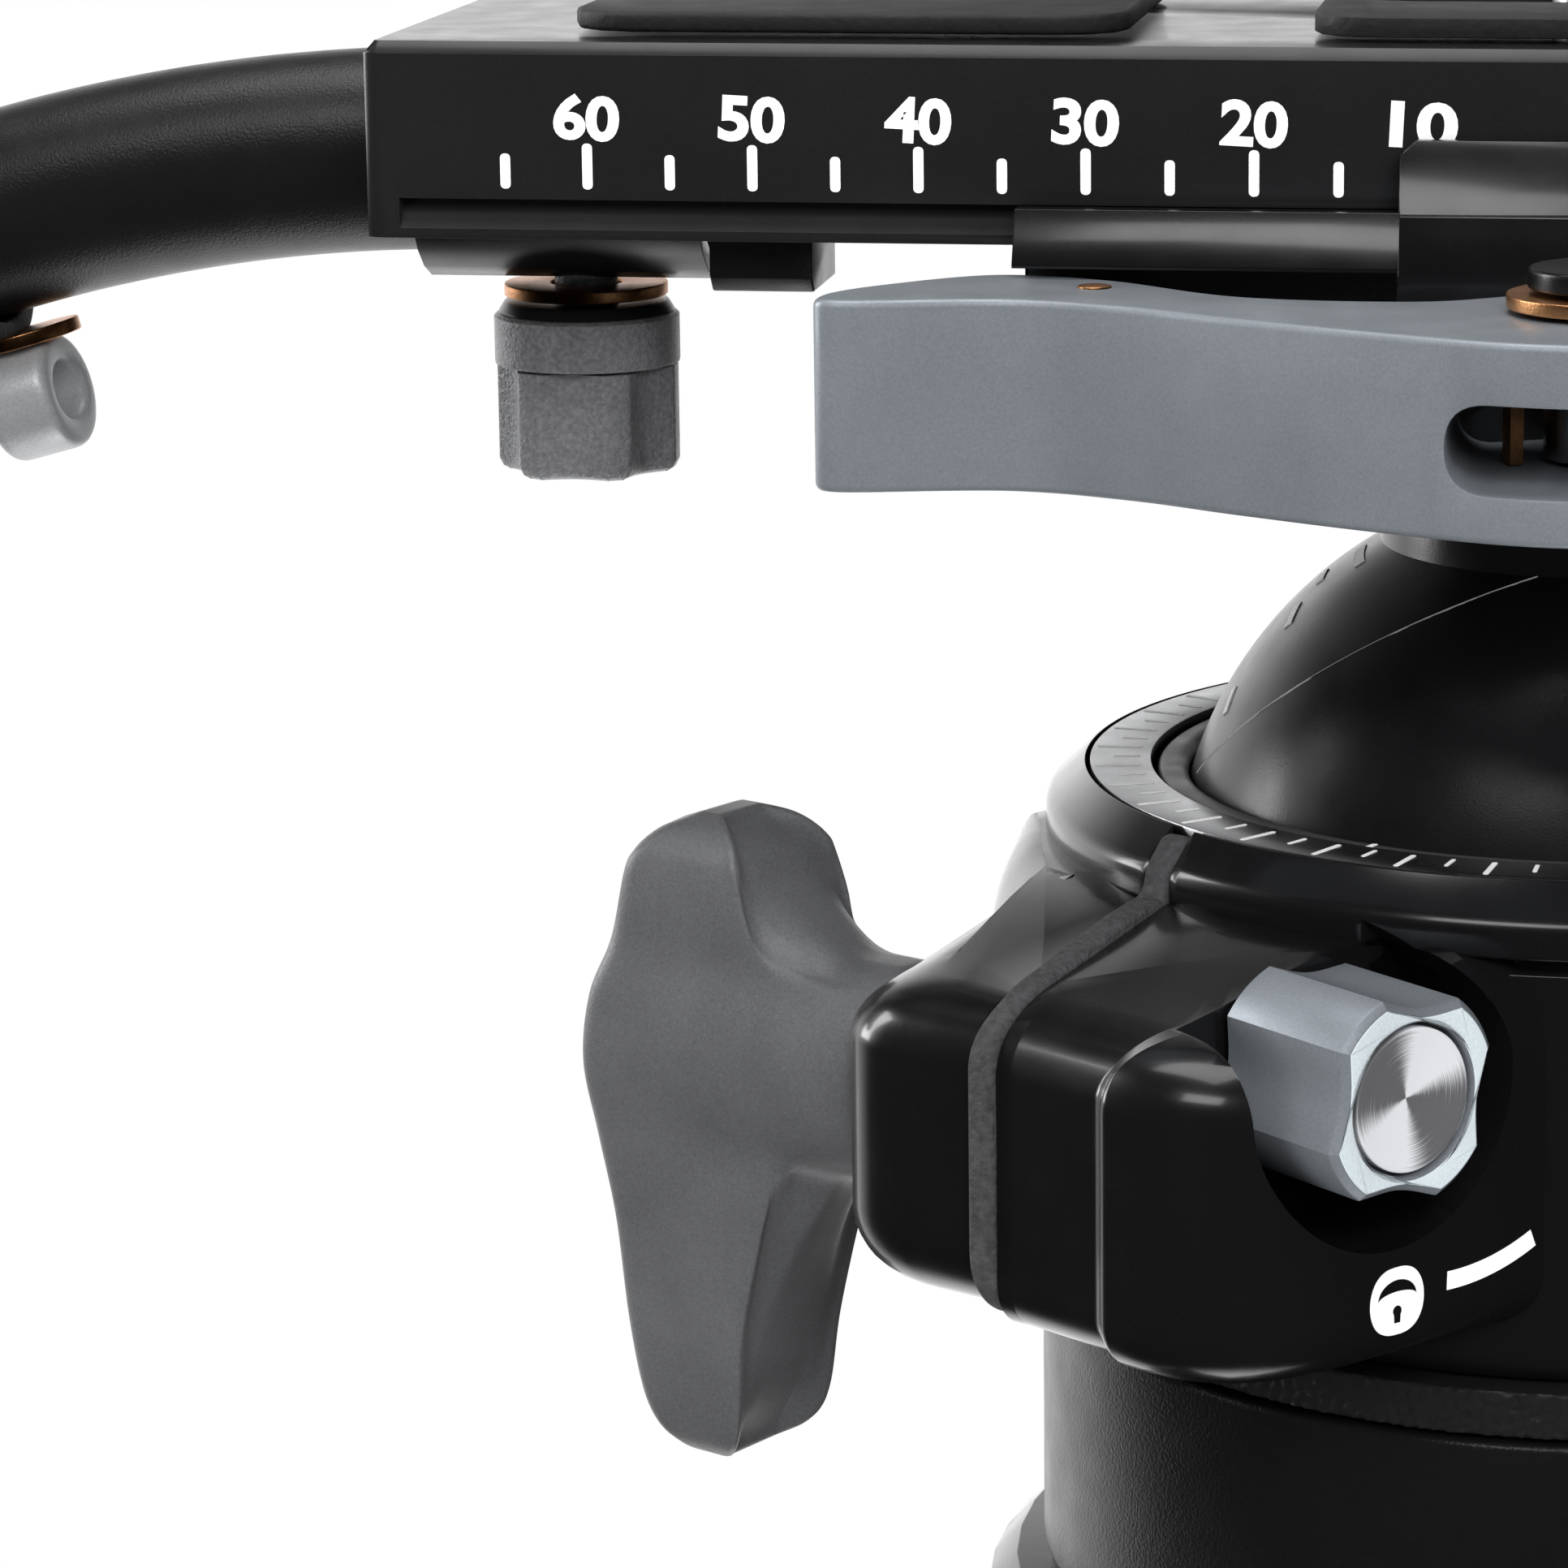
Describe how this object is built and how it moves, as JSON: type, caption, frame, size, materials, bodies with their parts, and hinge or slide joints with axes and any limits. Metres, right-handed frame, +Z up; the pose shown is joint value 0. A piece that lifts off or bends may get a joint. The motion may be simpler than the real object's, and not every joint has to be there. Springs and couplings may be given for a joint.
{
  "type": "camera tripod with ball head",
  "caption": "Small tripod with telescopic tube legs and twist locks, a panning ball head with wing and star knobs, and a lever clamp holding a rail with a telescopic pan handle.",
  "frame": {"origin": "middle of the footprint box, on the floor under the feet", "axes": "+Z up along the tripod; the quick release rail runs along X, its handle leaves it towards -X, and its graduated side faces -Y"},
  "size_m": [0.348, 0.3048, 0.5023],
  "materials": {
    "black_anodised": "anodised, smooth satin",
    "satin_black": "anodised, satin",
    "powder_black": "fine powder coat",
    "blue_grey_anodised": "bead blasted, satin anodised",
    "dark_grey_satin": "fine bead blasted, satin anodised",
    "copper": "copper coloured, turned",
    "steel": "turned",
    "rubber": "matt",
    "carbon": "woven carbon fibre under clear resin",
    "grey_acetal": "moulded"
  },
  "bodies": {
    "base": {"apex": "black_anodised", "leg_1_hinge_pin": "steel", "leg_2_hinge_pin": "steel", "leg_3_hinge_pin": "steel", "column_screw": "steel", "base_column": "powder_black", "textured_ring": "rubber", "bearing_plate": "grey_acetal", "housing": "black_anodised", "seam_gasket": "rubber", "scale_ring": "satin_black"},
    "pan_sleeve_body": {"pan_sleeve": "grey_acetal", "dust_ring": "satin_black"},
    "ball_tilt": {"ball_cup": "grey_acetal"},
    "ball_head": {"ball": "satin_black", "clamp_body": "black_anodised", "draw_rod": "steel", "lever_pivot": "satin_black", "lever_washer": "copper"},
    "wing": {"wing_knob": "dark_grey_satin", "wing_screw": "steel"},
    "star": {"star_knob": "blue_grey_anodised", "star_disc": "steel", "star_spindle": "steel"},
    "lever": {"clamp_lever": "blue_grey_anodised"},
    "jaw": {"front_jaw": "black_anodised"},
    "plate": {"rail": "black_anodised", "pad_left": "rubber", "pad_middle": "rubber", "pad_right": "rubber", "handle_socket": "satin_black", "stop_block": "satin_black", "lock_washer": "copper"},
    "camera_stud": {"camera_screw": "steel"},
    "handle": {"handle_tube": "satin_black"},
    "handle_lock": {"lock_knob": "dark_grey_satin"},
    "grip": {"handle_grip": "rubber", "cam_washer": "copper"},
    "grip_cam": {"cam_lever": "dark_grey_satin"},
    "leg_1": {"leg_1_shoulder": "black_anodised", "leg_1_upper_tube": "carbon"},
    "leg_1_upper_twist": {"leg_1_upper_lock": "rubber"},
    "leg_1_middle": {"leg_1_middle_tube": "carbon"},
    "leg_1_lower_twist": {"leg_1_lower_lock": "rubber"},
    "leg_1_lower": {"leg_1_lower_tube": "carbon", "leg_1_foot": "rubber"},
    "leg_2": {"leg_2_shoulder": "black_anodised", "leg_2_upper_tube": "carbon"},
    "leg_2_upper_twist": {"leg_2_upper_lock": "rubber"},
    "leg_2_middle": {"leg_2_middle_tube": "carbon"},
    "leg_2_lower_twist": {"leg_2_lower_lock": "rubber"},
    "leg_2_lower": {"leg_2_lower_tube": "carbon", "leg_2_foot": "rubber"},
    "leg_3": {"leg_3_shoulder": "black_anodised", "leg_3_upper_tube": "carbon"},
    "leg_3_upper_twist": {"leg_3_upper_lock": "rubber"},
    "leg_3_middle": {"leg_3_middle_tube": "carbon"},
    "leg_3_lower_twist": {"leg_3_lower_lock": "rubber"},
    "leg_3_lower": {"leg_3_lower_tube": "carbon", "leg_3_foot": "rubber"}
  },
  "joints": [
    {"name": "pan", "type": "hinge", "parent": "base", "child": "pan_sleeve_body", "pos_m": [0, -0.04642, 0.4507], "axis": [0, 0, 1], "continuous": true},
    {"name": "ball_forward_tilt", "type": "hinge", "parent": "pan_sleeve_body", "child": "ball_tilt", "pos_m": [0, -0.04642, 0.442], "axis": [1, 0, 0], "range_deg": [-20, 20]},
    {"name": "ball_side_tilt", "type": "hinge", "parent": "ball_tilt", "child": "ball_head", "pos_m": [0, -0.04642, 0.442], "axis": [0, 1, 0], "range_deg": [-20, 20]},
    {"name": "ball_lock_wing", "type": "hinge", "parent": "base", "child": "wing", "pos_m": [-0.03948, -0.06981, 0.4354], "axis": [-0.866, 0.5, 0], "range_deg": [0, 90]},
    {"name": "pan_lock_star", "type": "hinge", "parent": "base", "child": "star", "pos_m": [-0.01637, -0.08245, 0.4407], "axis": [0.7071, -0.7071, 0], "range_deg": [0, 90]},
    {"name": "clamp_lever", "type": "hinge", "parent": "ball_head", "child": "lever", "pos_m": [0.001, -0.07992, 0.484], "axis": [0, 0, 1], "range_deg": [0, 90]},
    {"name": "front_jaw_slide", "type": "slide", "parent": "ball_head", "child": "jaw", "axis": [0, -1, 0], "range_m": [0, 0.0015]},
    {"name": "rail_slide", "type": "slide", "parent": "ball_head", "child": "plate", "axis": [1, 0, 0], "range_m": [-0.036, 0.0105]},
    {"name": "camera_screw_turn", "type": "hinge", "parent": "plate", "child": "camera_stud", "pos_m": [0, -0.04642, 0.4855], "axis": [0, 0, 1], "continuous": true},
    {"name": "handle_turn", "type": "hinge", "parent": "plate", "child": "handle", "pos_m": [-0.07375, -0.04642, 0.4888], "axis": [1, 0, 0], "range_deg": [-90, 90]},
    {"name": "handle_lock_turn", "type": "hinge", "parent": "plate", "child": "handle_lock", "pos_m": [-0.0642, -0.04642, 0.4855], "axis": [0, 0, 1], "range_deg": [0, 180]},
    {"name": "grip_slide", "type": "slide", "parent": "handle", "child": "grip", "axis": [-0.9617, 0, -0.274], "range_m": [0, 0.035]},
    {"name": "grip_cam_turn", "type": "hinge", "parent": "grip", "child": "grip_cam", "pos_m": [-0.10113, -0.04642, 0.47703], "axis": [0.274, 0, -0.9617], "range_deg": [0, 90]},
    {"name": "leg_1_fold", "type": "hinge", "parent": "base", "child": "leg_1", "pos_m": [0, -0.01742, 0.3817], "axis": [-1, 0, 0], "range_deg": [0, 21]},
    {"name": "leg_1_upper_lock_turn", "type": "hinge", "parent": "leg_1", "child": "leg_1_upper_twist", "pos_m": [0, 0.0998, 0.10555], "axis": [0, 0.3907, -0.9205], "range_deg": [0, 90]},
    {"name": "leg_1_middle_slide", "type": "slide", "parent": "leg_1", "child": "leg_1_middle", "axis": [0, 0.3907, -0.9205], "range_m": [0, 0.2]},
    {"name": "leg_1_lower_lock_turn", "type": "hinge", "parent": "leg_1_middle", "child": "leg_1_lower_twist", "pos_m": [0, 0.11621, 0.06689], "axis": [0, 0.3907, -0.9205], "range_deg": [0, 90]},
    {"name": "leg_1_lower_slide", "type": "slide", "parent": "leg_1_middle", "child": "leg_1_lower", "axis": [0, 0.3907, -0.9205], "range_m": [0, 0.2]},
    {"name": "leg_2_fold", "type": "hinge", "parent": "base", "child": "leg_2", "pos_m": [-0.02511, -0.06092, 0.3817], "axis": [0.5, -0.866, 0], "range_deg": [0, 21]},
    {"name": "leg_2_upper_lock_turn", "type": "hinge", "parent": "leg_2", "child": "leg_2_upper_twist", "pos_m": [-0.12663, -0.11953, 0.10555], "axis": [-0.3384, -0.1954, -0.9205], "range_deg": [0, 90]},
    {"name": "leg_2_middle_slide", "type": "slide", "parent": "leg_2", "child": "leg_2_middle", "axis": [-0.3384, -0.1954, -0.9205], "range_m": [0, 0.2]},
    {"name": "leg_2_lower_lock_turn", "type": "hinge", "parent": "leg_2_middle", "child": "leg_2_lower_twist", "pos_m": [-0.14084, -0.12773, 0.06689], "axis": [-0.3384, -0.1954, -0.9205], "range_deg": [0, 90]},
    {"name": "leg_2_lower_slide", "type": "slide", "parent": "leg_2_middle", "child": "leg_2_lower", "axis": [-0.3384, -0.1954, -0.9205], "range_m": [0, 0.2]},
    {"name": "leg_3_fold", "type": "hinge", "parent": "base", "child": "leg_3", "pos_m": [0.02511, -0.06092, 0.3817], "axis": [0.5, 0.866, 0], "range_deg": [0, 21]},
    {"name": "leg_3_upper_lock_turn", "type": "hinge", "parent": "leg_3", "child": "leg_3_upper_twist", "pos_m": [0.12663, -0.11953, 0.10555], "axis": [0.3384, -0.1954, -0.9205], "range_deg": [0, 90]},
    {"name": "leg_3_middle_slide", "type": "slide", "parent": "leg_3", "child": "leg_3_middle", "axis": [0.3384, -0.1954, -0.9205], "range_m": [0, 0.2]},
    {"name": "leg_3_lower_lock_turn", "type": "hinge", "parent": "leg_3_middle", "child": "leg_3_lower_twist", "pos_m": [0.14084, -0.12773, 0.06689], "axis": [0.3384, -0.1954, -0.9205], "range_deg": [0, 90]},
    {"name": "leg_3_lower_slide", "type": "slide", "parent": "leg_3_middle", "child": "leg_3_lower", "axis": [0.3384, -0.1954, -0.9205], "range_m": [0, 0.2]}
  ],
  "couplings": [
    {"joint": "front_jaw_slide", "follows": "clamp_lever", "m_per_rad": 0.000954}
  ]
}
